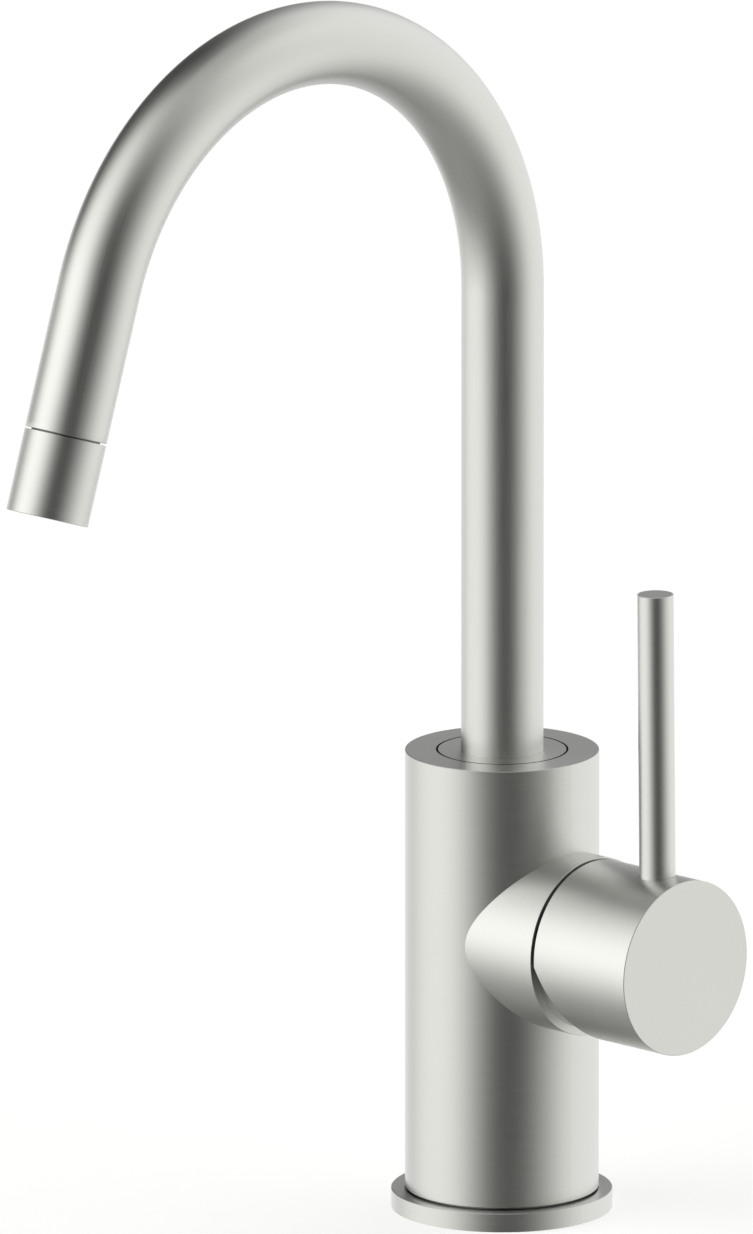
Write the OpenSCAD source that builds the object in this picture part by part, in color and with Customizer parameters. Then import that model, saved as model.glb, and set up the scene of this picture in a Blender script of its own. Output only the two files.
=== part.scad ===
// Single-lever basin mixer tap with a swivelling gooseneck spout.
// The column stands on the basin at z = 0 with its axis on Z. The spout reaches out along -Y,
// and the handle turns about an axis along +X. All sizes are in millimetres.

/* [Column] */
// Diameter of the turned column
column_d = 45; // [44:0.5:54]
// Height of the column's flat top above the basin
column_h = 109; // [96:1:150]
// Distance from the column's top down to the handle's axis
axis_drop = 42; // [41.5:0.5:50]
// Distance from the column's axis to the rim of the side neck
neck_reach = 29.5; // [28.5:0.5:34]
// Wall of the side neck around the nut's thread
neck_wall = 2.5; // [1.8:0.1:4]
// Break on every sharp turned edge
edge_break = 0.1; // [0.05:0.05:0.4]

/* [Base] */
// How far the base flange stands out past the column
flange_rim = 3.2; // [2:0.1:10]
// Thickness of the base flange
flange_t = 4.4; // [3.4:0.1:8]
// Depth of the recess in the flange that the column's shoulder stands in
flange_recess = 0.8; // [0.4:0.1:1.4]
// Open seam between the flange and the column's lower edge
foot_seam = 0.5; // [0.2:0.05:0.8]
// Depth of that seam, on the radius
foot_seam_depth = 1.2; // [0.5:0.1:1.4]
// Diameter of the column's foot inside the flange
foot_spigot_d = 38; // [34:0.5:40]
// Width of the sealing ring under the flange
gasket_w = 2.2; // [1.5:0.1:2.6]
// Thickness of the sealing ring under the flange
gasket_t = 1.6; // [1:0.1:2]

/* [Fixing and inlets] */
// Core diameter of the thread for the M8 fixing stud
stud_d = 6.8; // [5:0.1:7.2]
// Depth of the thread for the fixing stud
stud_depth = 18; // [10:1:24]
// Core diameter of the threads for the M10x1 supply hoses
inlet_d = 9; // [8:0.1:9.2]
// Depth of the threads for the supply hoses
inlet_depth = 14; // [8:1:18]
// Distance between the two supply threads
inlet_pitch = 22; // [20.5:0.5:24]
// Diameter of the drilled water passages
passage_d = 6; // [5:0.1:6.4]
// Offset of the two drilled inlets behind the column's axis
inlet_back = 1.2; // [0.8:0.1:1.6]
// Offset of the drilled outlet behind the column's axis
outlet_back = 4.4; // [4.2:0.1:4.8]

/* [Spout joint] */
// Diameter of the disc at the spout's foot, flush with the column's top
disc_d = 29.8; // [28:0.2:34]
// Thickness of that disc
disc_t = 4; // [3:0.25:5]
// Gap between the disc and its recess
disc_gap = 0.4; // [0.1:0.05:0.4]
// Diameter of the journal that turns in the column
journal_d = 24; // [23.4:0.1:25]
// Length of the journal below the disc
journal_len = 16.4; // [16.2:0.1:17]
// Running clearance of the journal, on the radius
journal_fit = 0.06; // [0.03:0.01:0.1]
// Thickness of the slip ring under the disc
slip_t = 1; // [0.6:0.1:1.4]
// Thickness of the journal's sealing rings
seal_d = 1.56; // [1.4:0.02:1.7]
// Diameter of the screw that keeps the spout in
keeper_d = 4; // [3:0.25:4.5]
// Length of that screw
keeper_len = 9; // [7:0.5:9.5]
// Turn of the spout to either side of straight ahead
swivel_max = 60; // [30:5:75]

/* [Spout] */
// Outside diameter of the spout tube
tube_d = 19.1; // [18.4:0.1:20]
// Wall of the spout tube
tube_wall = 1.2; // [0.8:0.1:1.3]
// Height of the straight riser above the column's top
riser_h = 109.8; // [60:1:200]
// Radius of the bend, at the tube's centre line
bend_r = 67.8; // [45:1:100]
// Sweep of the bend
bend_sweep = 161.6; // [130:1:175]
// Length of the straight tube after the bend
leg_len = 34.2; // [20:1:60]
// How deep the tube stands in the disc at its foot
tube_seat = 6.5; // [5:0.25:7]

/* [Outlet] */
// Open seam between the tube and the outlet shell
seam_gap = 0.4; // [0.3:0.05:0.8]
// Depth of the seam, on the radius
seam_depth = 1.5; // [1.3:0.05:1.7]
// Length of the outlet shell
shell_len = 19.1; // [18.5:0.1:26]
// Length of the threaded nipple inside the shell
nipple_len = 6.6; // [5:0.2:7]
// Length of the nipple's brazed end inside the tube
braze_len = 9; // [6:0.5:12]
// Wall of the shell around the insert
shell_wall = 2; // [1.8:0.1:2.2]
// Thickness of the flat washer
washer_t = 1.6; // [1:0.1:2]
// Width of one cell of the honeycomb, across flats
cell_w = 1.6; // [1.2:0.1:1.7]
// Web between two cells
cell_web = 0.4; // [0.3:0.05:0.6]

/* [Cartridge] */
// Diameter of the cartridge's body
cartridge_d = 34.8; // [34:0.1:35.2]
// Clearance of the cartridge in the neck, on the radius
cartridge_gap = 0.1; // [0.05:0.05:0.2]
// Wall of the cartridge's housing
housing_wall = 1.3; // [1:0.1:1.5]
// Distance from the handle's pivot back to the centre of the spindle's round tip
arm = 11.1; // [10.7:0.1:11.8]
// Distance from the housing's shoulder out to the pivot
pivot_rise = 4.7; // [4.5:0.1:5]
// Thickness of the cartridge's base
cartridge_base_t = 4.2; // [3.6:0.1:4.6]
// Thickness of each ceramic disc
ceramic_t = 3; // [2.6:0.1:3.2]
// Diameter of the sliding ceramic disc
slider_d = 25.2; // [24.8:0.1:26]
// Width of the square spindle
spindle_w = 8; // [7:0.1:8.4]
// Diameter of the spindle's round tip
tip_d = 5.2; // [5:0.1:5.6]
// Diameter of the pivot pin
pin_d = 3; // [2.4:0.1:3.4]
// Diameter of the outlet port
outlet_port_d = 6.4; // [5.4:0.1:6.6]
// Diameter of each inlet port
inlet_port_d = 5.8; // [5:0.1:5.9]

/* [Handle] */
// Length of the handle along its axis
handle_len = 28.8; // [27:0.1:40]
// Wall of the handle around its hollow
handle_wall = 1.15; // [0.9:0.05:2.5]
// Depth of the handle's hollow
handle_hollow = 14.3; // [13.4:0.1:15.5]
// Dark groove between the neck's rim and the handle
handle_gap = 0.7; // [0.5:0.05:1.2]
// Clearance left between the tilted handle and the neck's rim
rim_clear = 0.24; // [0.15:0.01:0.35]
// Lift of the lever from shut to fully open
tilt_max = 25; // [18:1:25]
// Turn of the handle to either side, from mixed to hot or cold
swing_max = 50; // [30:1:55]
// Wall of the cover sleeve that shows inside the handle
sleeve_wall = 1.5; // [1.2:0.05:2]
// Length of the cover sleeve
sleeve_len = 5.9; // [5.6:0.05:6.2]

/* [Lever] */
// Diameter of the lever pin
lever_d = 8.4; // [6:0.1:10]
// Height of the lever's end above the handle's axis
lever_top = 87.1; // [50:0.1:130]
// Distance from the handle's front face back to the lever's centre
lever_back = 8.8; // [8:0.1:9.2]
// Lean of the lever towards the column
lever_lean = 0.7; // [0:0.1:3]
// Depth that the lever's foot is let into the handle
lever_sink = 1.2; // [0.8:0.1:2]
// Diameter of the lever's threaded end
lever_thread_d = 5; // [4:0.25:5.5]
// Length of the lever's threaded end
lever_thread_len = 7; // [5:0.5:8]
// Diameter of the grub screw under the handle
grub_d = 5; // [4:0.5:6]
// Length of the grub screw
grub_len = 10; // [6:0.5:12]

/* [Hidden] */
$fn = 96;
// Fit between a thread and its hole, on the radius
thread_fit = 0.04;
// Clearance of a piece that is only slipped in, on the radius
slip_fit = 0.08;
// Running clearance of a turning piece, on the radius
run_fit = 0.06;
// Gap filled by brazing, on the radius
braze_fit = 0.02;
// Film of water between the two ceramic discs
film = 0.05;
// Smallest free gap between pieces that pass each other
pass_gap = 0.3;
// Overrun of a cutting tool past the face that it cuts
over = 1;
// Corner radius of a hexagon socket, as a share of its screw's radius
hex_share = 0.58;

satin_steel = "#b7b6af";
brass = "#c2a35a";
screw_steel = "#8f9295";
rubber = "#2b2b2c";
acetal = "#e8e6df";
white_ceramic = "#f1efe8";
grey_plastic = "#7d8790";
blue_plastic = "#3f6f9c";

column_r = column_d / 2;
axis_h = column_h - axis_drop;
inlet_x = -inlet_back;
outlet_x = -outlet_back;

// Base: the shoulder of the column stands in the flange's recess
flange_r = column_r + flange_rim;
shoulder_h = flange_t - flange_recess;
shoulder_r = column_r - foot_seam_depth;
shoulder_fit = 0.12;
foot_h = flange_t + foot_seam;
foot_spigot_r = foot_spigot_d / 2;
gasket_r = (foot_spigot_r + flange_r) / 2;

// Spout joint, from the column's top downwards
disc_r = disc_d / 2;
journal_r = journal_d / 2;
socket_r = journal_r + journal_fit;
disc_floor_h = column_h - disc_t;
ledge_h = disc_floor_h - slip_t - film;
journal_end_h = disc_floor_h - journal_len;
socket_floor_h = journal_end_h - pass_gap;
seal_r = seal_d / 2;
seal_squeeze = 0.02;
seal_ring_r = journal_r - seal_r - seal_squeeze;
seal_groove_r = seal_ring_r - seal_r - seal_squeeze;
seal_groove_w = seal_d + 0.6;
seal_rise = 2.2;
seal_pitch = 4;
seal_heights = [journal_end_h + seal_rise, journal_end_h + seal_rise + seal_pitch];
keeper_rise = 10.7;
keeper_h = journal_end_h + keeper_rise;
keeper_r = keeper_d / 2;
keeper_tip_r = 0.7 * keeper_r;
keeper_tip_play = 0.2;
keeper_hex_depth = 2.2;
keeper_groove_r = journal_r - 2;
keeper_groove_w = 2 * (keeper_tip_r + keeper_tip_play);
keeper_reach = keeper_groove_r + pass_gap;
keeper_tip_turn = asin((keeper_tip_r + keeper_tip_play) / keeper_groove_r);
keeper_end_play = 1.5;
keeper_groove_turn = swivel_max + keeper_tip_turn + keeper_end_play;

// Spout tube
tube_r = tube_d / 2;
tube_bore_r = tube_r - tube_wall;
riser_top = column_h + riser_h;
tube_foot_h = column_h - tube_seat;
foot_ledge = 0.6;
foot_bore_r = tube_bore_r - foot_ledge;
// The straight end is drawn through a sizing die after bending, so it is a hair thinner
end_sizing = 0.02;
// Overlap of two lengths of one tube
lap = 0.05;

// Outlet, measured along the water's way from the tube's end
nipple_r = tube_r - seam_depth;
nipple_end = seam_gap + nipple_len;
nipple_wall = 1.6;
nipple_bore_r = nipple_r - nipple_wall;
insert_rim = nipple_end + washer_t;
insert_rim_t = 1;
shoulder_s = insert_rim + insert_rim_t;
insert_r = tube_r - shell_wall - slip_fit;
mouth_recess = 1.35;
insert_end = seam_gap + shell_len - mouth_recess;
insert_wall = 1;
insert_bore_r = insert_r - insert_wall;
grid_t = 1.6;
screen_t = 0.4;
screen_room = 2.6;
screen_s = insert_end - grid_t - screen_room;
screen_step = 0.7;
mesh_pitch = 1.15;
mesh_hole = 0.8;
regulator_t = 2.4;
lip_w = 0.7;
lip_r = insert_r - lip_w;

// Cartridge, along the handle's axis from the pivot inwards
pivot_x = neck_reach + handle_gap;
shoulder_x = pivot_x - pivot_rise;
cartridge_r = cartridge_d / 2;
cartridge_bore_r = cartridge_r + cartridge_gap;
nut_step = 0.9;
nut_thread_r = cartridge_bore_r + nut_step;
neck_r = nut_thread_r + neck_wall;
tip_x = pivot_x - arm;
tip_r = tip_d / 2;
tip_room = 0.5;
tip_fit = 0.15;
carrier_floor = 1.2;
carrier_x = tip_x - tip_r - tip_room - carrier_floor;
carrier_rim = 0.8;
carrier_top = tip_x + carrier_rim;
slider_x = carrier_x - ceramic_t;
fixed_x = slider_x - film - ceramic_t;
seat_x = fixed_x - cartridge_base_t;
housing_top_t = 1.7;
housing_in_r = cartridge_r - housing_wall;
base_rim_t = 1.65;
housing_x = seat_x + base_rim_t;
carrier_room = 0.4;
rotor_flange_x = carrier_top + carrier_room;
rotor_flange_end = shoulder_x - housing_top_t - 0.1;
lug_room = 1.6;
rotor_flange_r = housing_in_r - lug_room;
rotor_neck_r = 11.13;
collar_in_r = rotor_neck_r + run_fit;
collar_wall = 2;
collar_r = collar_in_r + collar_wall;
collar_rise = 2.8;
collar_end = pivot_x + collar_rise;
rotor_end = collar_end + 0.4;
stop_half = 8;
stop_arc = 20;
stop_play = 0.7;
travel = arm * sin(tilt_max);
slider_r = slider_d / 2;
chamber_r = 4.6;
chamber_len = 7;
chamber_end = slider_x + 0.6 * ceramic_t;
key_r = 1.5;
arm_half = 0.77 * tip_r;
slot_low = 6.3;
slot_high = 7.6;
rail_in = 9.15;
rail_w = 3.2;
rail_half = 6.5;
rail_x = carrier_x + 2;
peg_y = 12.4;
peg_z = -7;
peg_r = 1.5;
peg_len = 2.4;
outlet_port_z = -6;
inlet_port_z = 4.6;
inlet_port_y = 6.2;
inlet_offset = 2.3;
inlet_rise_y = inlet_port_y + inlet_offset;
seat_ring_w = 1.1;
seat_ring_t = 1.5;

// Nut, cover sleeve and handle, along the same axis outwards
nut_r = nut_thread_r - thread_fit;
nut_top_r = cartridge_r;
nut_hole_r = collar_r + 0.1;
nut_step_x = neck_reach - 0.1;
nut_rise = 2.4;
nut_hex_t = 2.5;
nut_hex_x = neck_reach + nut_rise;
nut_end = nut_hex_x + nut_hex_t;
sleeve_in_r = nut_top_r + slip_fit;
sleeve_r = sleeve_in_r + sleeve_wall;
sleeve_ball_r = sleeve_r + 0.12;
sleeve_lip_t = 0.8;
handle_bore_r = sleeve_ball_r + pass_gap;
handle_r = handle_bore_r + handle_wall;
handle_x = pivot_x;
handle_front = handle_x + handle_len;
hollow_end = handle_x + handle_hollow;
wedge_drop = (handle_gap - rim_clear) / sin(tilt_max);
socket_w = spindle_w + 2 * slip_fit;
socket_max = 10;
front_min = 2.5;
socket_depth = min(socket_max, handle_len - handle_hollow - front_min);
spindle_end = hollow_end + socket_depth - 0.4;
lever_x = handle_front - lever_back;
lever_r = lever_d / 2;
lever_foot = handle_r - lever_sink;
grub_hex_depth = 2.6;

// A bar on the handle's axis, from x0 to x1
module bar(x0, x1, r) {
    translate([x0, 0, axis_h]) rotate([0, 90, 0]) cylinder(h = x1 - x0, r = r);
}

// A bar parallel to the handle's axis, at y and z from it
module side_bar(y, z, x0, x1, r) {
    translate([0, y, z]) bar(x0, x1, r);
}

// A block on the handle's axis, from x0 to x1, with its own width and its lower and upper side
module block(x0, x1, half_y, low, high) {
    translate([x0, -half_y, axis_h + low]) cube([x1 - x0, 2 * half_y, high - low]);
}

// A turned piece with broken edges at its far end, from 0 to h
module turned_bar(r, h, brk) {
    rotate_extrude() polygon([[0, 0], [r, 0], [r, h - brk], [r - brk, h], [0, h]]);
}

// A flat ring, from z0 to z1
module ring(z0, z1, r_out, r_in) {
    difference() {
        translate([0, 0, z0]) cylinder(h = z1 - z0, r = r_out);
        translate([0, 0, z0 - over]) cylinder(h = z1 - z0 + 2 * over, r = r_in);
    }
}

// Places a piece at the tube's lower end, with +Z along the water's way
module at_outlet() {
    at_bend() rotate([0, 0, bend_sweep]) translate([bend_r, 0, 0]) rotate([-90, 0, 0])
        translate([0, 0, leg_len]) children();
}

// Places a piece at the centre of the spout's bend, turned so that the bend is swept about Z
module at_bend() {
    translate([0, -bend_r, riser_top]) rotate([90, 0, 90]) children();
}

// The spout's path as a solid of one radius, from z0 up the riser and round the bend, and its sized end
module spout_path(r, end_r, z0, extra) {
    translate([0, 0, z0]) cylinder(h = riser_top - z0, r = r);
    at_bend() rotate_extrude(angle = bend_sweep, $fn = 180) translate([bend_r, 0]) circle(r = r, $fn = 72);
    at_outlet() translate([0, 0, -leg_len - lap]) cylinder(h = leg_len + lap + extra, r = end_r);
}

// Column with its side neck: turned from solid stainless steel, drilled, and brushed outside
module column_body() {
    color(satin_steel) difference() {
        union() {
            rotate_extrude() polygon([
                [0, 0], [foot_spigot_r, 0], [foot_spigot_r, shoulder_h], [shoulder_r, shoulder_h],
                [shoulder_r, foot_h], [column_r - edge_break, foot_h], [column_r, foot_h + edge_break],
                [column_r, column_h - edge_break], [column_r - edge_break, column_h], [0, column_h]
            ]);
            translate([0, 0, axis_h]) rotate([0, 90, 0]) turned_bar(neck_r, neck_reach, edge_break);
        }
        spout_socket();
        cartridge_seat();
        water_passages();
        base_threads();
    }
}

// Recess for the disc, journal bore and the hole of the keeper screw at the back
module spout_socket() {
    translate([0, 0, ledge_h]) cylinder(h = column_h - ledge_h + over, r = disc_r + disc_gap);
    translate([0, 0, socket_floor_h]) cylinder(h = column_h - socket_floor_h, r = socket_r);
    translate([0, 0, keeper_h]) rotate([-90, 0, 0])
        cylinder(h = column_r + over, r = keeper_r + thread_fit);
}

// Bore of the cartridge, the nut's thread and the two locating holes in the seat
module cartridge_seat() {
    bar(seat_x, neck_reach + over, cartridge_bore_r);
    bar(shoulder_x - 0.6, neck_reach + over, nut_thread_r);
    for (side = [-1, 1])
        side_bar(side * peg_y, peg_z, seat_x - peg_len - 0.2, seat_x + over, peg_r + slip_fit);
}

// Two rising inlets and one outlet that climbs to the spout's socket
module water_passages() {
    for (side = [-1, 1]) {
        translate([inlet_x, side * inlet_rise_y, inlet_depth - 0.5])
            cylinder(h = axis_h + inlet_port_z - inlet_depth + 0.5, r = passage_d / 2);
        side_bar(side * inlet_port_y, inlet_port_z, inlet_x, seat_x + over, inlet_port_d / 2);
    }
    side_bar(0, outlet_port_z, outlet_x, seat_x + over, outlet_port_d / 2);
    translate([outlet_x, 0, axis_h + outlet_port_z])
        cylinder(h = socket_floor_h - axis_h - outlet_port_z + over, r = passage_d / 2 + 0.3);
}

// Threads in the column's underside for the fixing stud and the two supply hoses
module base_threads() {
    translate([0, 0, -over]) cylinder(h = stud_depth + over, r = stud_d / 2);
    for (side = [-1, 1]) translate([0, side * inlet_pitch / 2, -over])
        cylinder(h = inlet_depth + over, r = inlet_d / 2);
}

// Turned base flange, trapped between the column's shoulder and the basin
module base_flange() {
    color(satin_steel) difference() {
        turned_bar(flange_r, flange_t, edge_break);
        translate([0, 0, -over]) cylinder(h = flange_t + 2 * over, r = foot_spigot_r + slip_fit);
        translate([0, 0, shoulder_h]) cylinder(h = flange_recess + over, r = shoulder_r + shoulder_fit);
        ring(-over, gasket_t, gasket_r + gasket_w / 2 + slip_fit, gasket_r - gasket_w / 2 - slip_fit);
    }
}

// Rubber sealing ring in the flange's underside, level with the basin when pressed
module base_gasket() {
    color(rubber) ring(0, gasket_t, gasket_r + gasket_w / 2, gasket_r - gasket_w / 2);
}

// Acetal slip ring that the spout's disc turns on
module spout_slip_ring() {
    color(acetal) ring(ledge_h, ledge_h + slip_t, disc_r, journal_r + 0.2);
}

// Stainless grub screw with a turned tip, through the back of the column into the arc groove
module spout_keeper_screw() {
    color(screw_steel) translate([0, keeper_reach, keeper_h]) rotate([-90, 0, 0]) difference() {
        union() {
            cylinder(h = keeper_len, r = keeper_tip_r, $fn = 48);
            translate([0, 0, socket_r - keeper_reach + 0.3])
                cylinder(h = keeper_len - socket_r + keeper_reach - 0.3, r = keeper_r, $fn = 48);
        }
        translate([0, 0, keeper_len - keeper_hex_depth])
            cylinder(h = keeper_hex_depth + over, r = hex_share * keeper_r, $fn = 6);
    }
}

// Brass nut that clamps the cartridge, with a hexagon for the key
module cartridge_nut() {
    color(brass) difference() {
        union() {
            bar(shoulder_x, nut_step_x, nut_r);
            bar(shoulder_x, nut_hex_x, nut_top_r);
            translate([nut_hex_x - over, 0, axis_h]) rotate([0, 90, 0])
                cylinder(h = nut_end - nut_hex_x + over, r = nut_top_r - 0.1, $fn = 6);
        }
        bar(shoulder_x - over, nut_end + over, nut_hole_r);
    }
}

// Brushed sleeve that hides the nut: its nose is part of a ball about the pivot, so the handle clears it
module cover_sleeve() {
    color(satin_steel) difference() {
        intersection() {
            bar(neck_reach, neck_reach + sleeve_len, sleeve_r);
            translate([pivot_x, 0, axis_h]) sphere(r = sleeve_ball_r);
        }
        bar(neck_reach - over, neck_reach + sleeve_len - sleeve_lip_t, sleeve_in_r);
        bar(neck_reach, neck_reach + sleeve_len + over, nut_hole_r - 0.4);
    }
}

// Moulded housing with the collar that guides the rotor and two stops for its lug
module cartridge_housing() {
    color(grey_plastic) {
        difference() {
            union() {
                bar(housing_x, shoulder_x, cartridge_r);
                bar(shoulder_x - over, collar_end, collar_r);
            }
            bar(housing_x - over, shoulder_x - housing_top_t, housing_in_r);
            bar(housing_x, collar_end + over, collar_in_r);
        }
        for (side = [-1, 1]) turn_stop(side);
    }
}

// One stop inside the housing, next to the rotor's lug at the end of its swing
module turn_stop(side) {
    first = swing_max + stop_half + stop_play;
    from = side > 0 ? first : -first - stop_arc;
    translate([rotor_flange_x, 0, axis_h]) rotate([0, 90, 0]) rotate([0, 0, from])
        rotate_extrude(angle = stop_arc) translate([rotor_flange_r + 0.2, 0])
            square([housing_in_r - rotor_flange_r, shoulder_x - housing_top_t - rotor_flange_x + 0.2]);
}

// Moulded base with three ports, pockets for the seals, locating pegs, and lugs that key the fixed disc
module cartridge_base() {
    color(blue_plastic) difference() {
        union() {
            bar(seat_x, housing_x, cartridge_r);
            bar(seat_x, fixed_x, housing_in_r - slip_fit);
            for (side = [-1, 1]) side_bar(side * peg_y, peg_z, seat_x - peg_len, seat_x + over, peg_r);
            intersection() {
                bar(seat_x, fixed_x + ceramic_t, housing_in_r - slip_fit);
                for (side = [-1, 1])
                    side_bar(side * housing_in_r, 0, fixed_x - over, fixed_x + 0.7 * ceramic_t, key_r);
            }
        }
        each_port(seat_x - over, fixed_x + over, 0);
        each_port(seat_x - over, seat_x + seat_ring_t, seat_ring_w);
        each_port(fixed_x - seat_ring_t, fixed_x + over, seat_ring_w);
    }
}

// The three ports as bars, grown on the radius
module each_port(x0, x1, grow) {
    side_bar(0, outlet_port_z, x0, x1, outlet_port_d / 2 + grow);
    for (side = [-1, 1]) side_bar(side * inlet_port_y, inlet_port_z, x0, x1, inlet_port_d / 2 + grow);
}

// Three rubber rings in their pockets, one round each port
module port_rings(x0, x1) {
    difference() {
        each_port(x0, x1, seat_ring_w - slip_fit);
        each_port(x0 - over, x1 + over, 0.05);
    }
}

// Rings between the base and the seat in the column
module seat_seals() {
    color(rubber) port_rings(seat_x, seat_x + seat_ring_t);
}

// Rings between the base and the fixed disc
module disc_seals() {
    color(rubber) port_rings(fixed_x - seat_ring_t, fixed_x);
}

// Ground ceramic disc with the three ports, keyed by two notches
module fixed_ceramic_disc() {
    color(white_ceramic) difference() {
        bar(fixed_x, fixed_x + ceramic_t, housing_in_r - 0.2);
        each_port(fixed_x - over, fixed_x + ceramic_t + over, 0);
        for (side = [-1, 1])
            side_bar(side * housing_in_r, 0, fixed_x - over, fixed_x + ceramic_t + over, key_r + 0.1);
    }
}

// Ground ceramic disc that slides on the fixed one: its chamber joins the ports once it is lifted
module sliding_ceramic_disc() {
    color(white_ceramic) difference() {
        translate([0, 0, -travel / 2]) bar(slider_x, carrier_x, slider_r);
        side_bar(0, 0, slider_x - over, chamber_end, chamber_r);
        side_bar(0, -chamber_len, slider_x - over, chamber_end, chamber_r);
        block(slider_x - over, chamber_end, chamber_r - 0.1, -chamber_len, 0);
    }
}

// Moulded carrier on the sliding disc: the spindle's tip works in its slot
module disc_carrier() {
    color(acetal) difference() {
        union() {
            translate([0, 0, -travel / 2]) bar(carrier_x, carrier_x + 1.6, slider_r - 0.6);
            intersection() {
                translate([0, 0, -travel / 2]) bar(carrier_x, carrier_top, slider_r - 0.6);
                block(carrier_x, carrier_top, rail_in - 0.15, -2 * slider_r, 2 * slider_r);
            }
        }
        block(carrier_x + carrier_floor, carrier_top + over, spindle_w / 2 + 0.15,
              -tip_r - tip_fit, tip_r + tip_fit);
    }
}

// Moulded rotor: it turns in the housing's collar, carries the pivot pin and guides the carrier
module cartridge_rotor() {
    color(acetal) difference() {
        union() {
            bar(rotor_flange_x, rotor_flange_end, rotor_flange_r);
            bar(rotor_flange_x, rotor_end, rotor_neck_r);
            rotor_lug();
            for (side = [-1, 1])
                translate([rail_x, side * (rail_in + rail_w / 2) - rail_w / 2, axis_h - rail_half])
                    cube([rotor_flange_x - rail_x + over, rail_w, 2 * rail_half]);
        }
        block(carrier_x, rotor_end + over, spindle_w / 2 + 0.1, -slot_low, slot_high);
        translate([pivot_x, -cartridge_r, axis_h]) rotate([-90, 0, 0])
            cylinder(h = 2 * cartridge_r, r = pin_d / 2 + 0.02);
    }
}

// Lug on the rotor's flange that meets the stops at either end of the swing
module rotor_lug() {
    translate([rotor_flange_x, 0, axis_h]) rotate([0, 90, 0]) rotate([0, 0, -stop_half])
        rotate_extrude(angle = 2 * stop_half) translate([rotor_flange_r - over, 0])
            square([housing_in_r - rotor_flange_r + over - 0.3, rotor_flange_end - rotor_flange_x]);
}

// Hardened pin across the rotor, on which the spindle tilts
module pivot_pin() {
    color(screw_steel) translate([pivot_x, -rotor_neck_r + 1.2, axis_h]) rotate([-90, 0, 0])
        cylinder(h = 2 * rotor_neck_r - 2.4, r = pin_d / 2, $fn = 48);
}

// Brass spindle: a square end for the handle, a slim arm and a round tip in the carrier
module cartridge_spindle() {
    color(brass) difference() {
        union() {
            block(pivot_x - 3.2, spindle_end, spindle_w / 2, -spindle_w / 2, spindle_w / 2);
            block(tip_x, pivot_x - 3, spindle_w / 2, -arm_half, arm_half);
            translate([tip_x, -spindle_w / 2, axis_h]) rotate([-90, 0, 0])
                cylinder(h = spindle_w, r = tip_r, $fn = 48);
        }
        translate([pivot_x, -spindle_w, axis_h]) rotate([-90, 0, 0])
            cylinder(h = 2 * spindle_w, r = pin_d / 2 + run_fit, $fn = 48);
    }
}

// Turned handle: a cup with a solid front, and a slanting cut at its lower rear to let it tilt
module handle_hub() {
    color(satin_steel) difference() {
        translate([handle_x, 0, axis_h]) rotate([0, 90, 0]) turned_bar(handle_r, handle_len, edge_break);
        bar(handle_x - over, hollow_end, handle_bore_r);
        block(hollow_end - over, hollow_end + socket_depth, socket_w / 2, -socket_w / 2, socket_w / 2);
        translate([handle_x, 0, axis_h - wedge_drop]) rotate([0, -tilt_max, 0])
            translate([-2 * handle_r, -2 * handle_r, -3 * handle_r])
                cube([2 * handle_r, 4 * handle_r, 3 * handle_r]);
        at_lever() {
            translate([0, 0, lever_foot]) cylinder(h = lever_sink + over, r = lever_r + 0.05);
            translate([0, 0, lever_foot - lever_thread_len - 0.5])
                cylinder(h = lever_thread_len + over, r = lever_thread_d / 2 + thread_fit);
        }
        translate([lever_x, 0, axis_h - handle_r - over])
            cylinder(h = handle_r + over, r = grub_d / 2 + thread_fit);
    }
}

// Places a piece on the lever's own axis, which leans a little towards the column
module at_lever() {
    translate([lever_x, 0, axis_h]) rotate([0, -lever_lean, 0]) children();
}

// Grub screw from below that holds the handle on the spindle
module handle_grub_screw() {
    color(screw_steel) translate([lever_x, 0, axis_h - spindle_w / 2 - grub_len]) difference() {
        cylinder(h = grub_len, r = grub_d / 2, $fn = 48);
        translate([0, 0, -over]) cylinder(h = grub_hex_depth + over, r = hex_share * grub_d / 2, $fn = 6);
    }
}

// Plain round lever pin, screwed into the top of the handle
module lever_pin() {
    color(satin_steel) at_lever() {
        translate([0, 0, lever_foot]) turned_bar(lever_r, lever_top - lever_foot, edge_break);
        translate([0, 0, lever_foot - lever_thread_len])
            cylinder(h = lever_thread_len + over, r = lever_thread_d / 2, $fn = 48);
    }
}

// Turned foot of the spout: flush disc, journal with seal grooves and the arc groove at the back
module spout_foot() {
    color(satin_steel) difference() {
        union() {
            translate([0, 0, disc_floor_h]) cylinder(h = disc_t, r = disc_r);
            translate([0, 0, journal_end_h]) cylinder(h = journal_len + over, r = journal_r);
        }
        translate([0, 0, journal_end_h - over]) cylinder(h = journal_len + disc_t, r = foot_bore_r);
        translate([0, 0, tube_foot_h]) cylinder(h = tube_seat + over, r = tube_r + braze_fit);
        for (h = seal_heights)
            ring(h - seal_groove_w / 2, h + seal_groove_w / 2, journal_r + over, seal_groove_r);
        translate([0, 0, keeper_h - keeper_groove_w / 2]) rotate([0, 0, 90 - keeper_groove_turn])
            rotate_extrude(angle = 2 * keeper_groove_turn) translate([keeper_groove_r, 0])
                square([journal_r - keeper_groove_r + over, keeper_groove_w]);
    }
}

// Two rubber rings that seal the journal in the column
module spout_o_rings() {
    color(rubber) for (h = seal_heights) translate([0, 0, h]) rotate_extrude()
        translate([seal_ring_r, 0]) circle(r = seal_r, $fn = 32);
}

// Gooseneck of drawn stainless tube, bent in one arc and brazed into the foot
module spout_tube() {
    color(satin_steel) difference() {
        spout_path(tube_r, tube_r - end_sizing, tube_foot_h, 0);
        spout_path(tube_bore_r, tube_bore_r - end_sizing, tube_foot_h - over, over);
    }
}

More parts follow.
